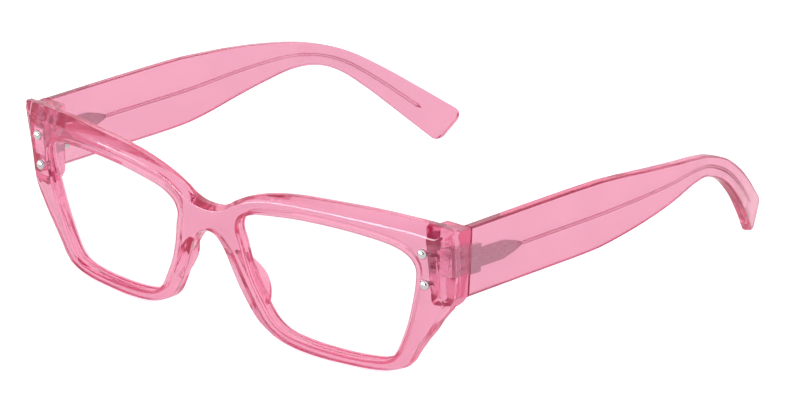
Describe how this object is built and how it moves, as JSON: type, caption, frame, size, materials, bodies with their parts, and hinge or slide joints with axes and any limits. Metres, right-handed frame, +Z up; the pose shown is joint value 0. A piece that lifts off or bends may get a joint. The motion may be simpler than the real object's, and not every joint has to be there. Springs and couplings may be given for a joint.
{
  "type": "blue light glasses",
  "caption": "Angular translucent pink acetate glasses with clear lenses, faceted brow, riveted end pieces and broad folding temples with a visible core wire.",
  "frame": {"origin": "centre of the bounding box in X and Y, on the surface that the lower rims stand on", "axes": "+X to the wearer's left, +Y from the front towards the temple tips, +Z up"},
  "size_m": [0.14, 0.1419, 0.0408],
  "materials": {
    "acetate": "polished translucent pink acetate",
    "lens": "clear, with a faint blue light filter coating",
    "rivet_steel": "polished",
    "hinge_steel": "satin",
    "core_wire": "drawn wire"
  },
  "bodies": {
    "front": {"front_frame": "acetate", "lens_left": "lens", "lens_right": "lens", "nose_pad_left": "acetate", "nose_pad_right": "acetate", "rivet_left_upper": "rivet_steel", "rivet_left_lower": "rivet_steel", "rivet_right_upper": "rivet_steel", "rivet_right_lower": "rivet_steel", "front_hinge_left": "hinge_steel", "front_hinge_right": "hinge_steel", "hinge_screw_left": "hinge_steel", "hinge_screw_right": "hinge_steel"},
    "temple_left": {"temple_left": "acetate", "temple_hinge_left": "hinge_steel", "core_wire_left": "core_wire"},
    "temple_right": {"temple_right": "acetate", "temple_hinge_right": "hinge_steel", "core_wire_right": "core_wire"}
  },
  "joints": [
    {"name": "fold_left", "type": "hinge", "parent": "front", "child": "temple_left", "pos_m": [0.0649, -0.0535, 0.0304], "axis": [0, 0, 1], "range_deg": [0, 83]},
    {"name": "fold_right", "type": "hinge", "parent": "front", "child": "temple_right", "pos_m": [-0.0649, -0.0535, 0.0304], "axis": [0, 0, -1], "range_deg": [0, 72]}
  ]
}
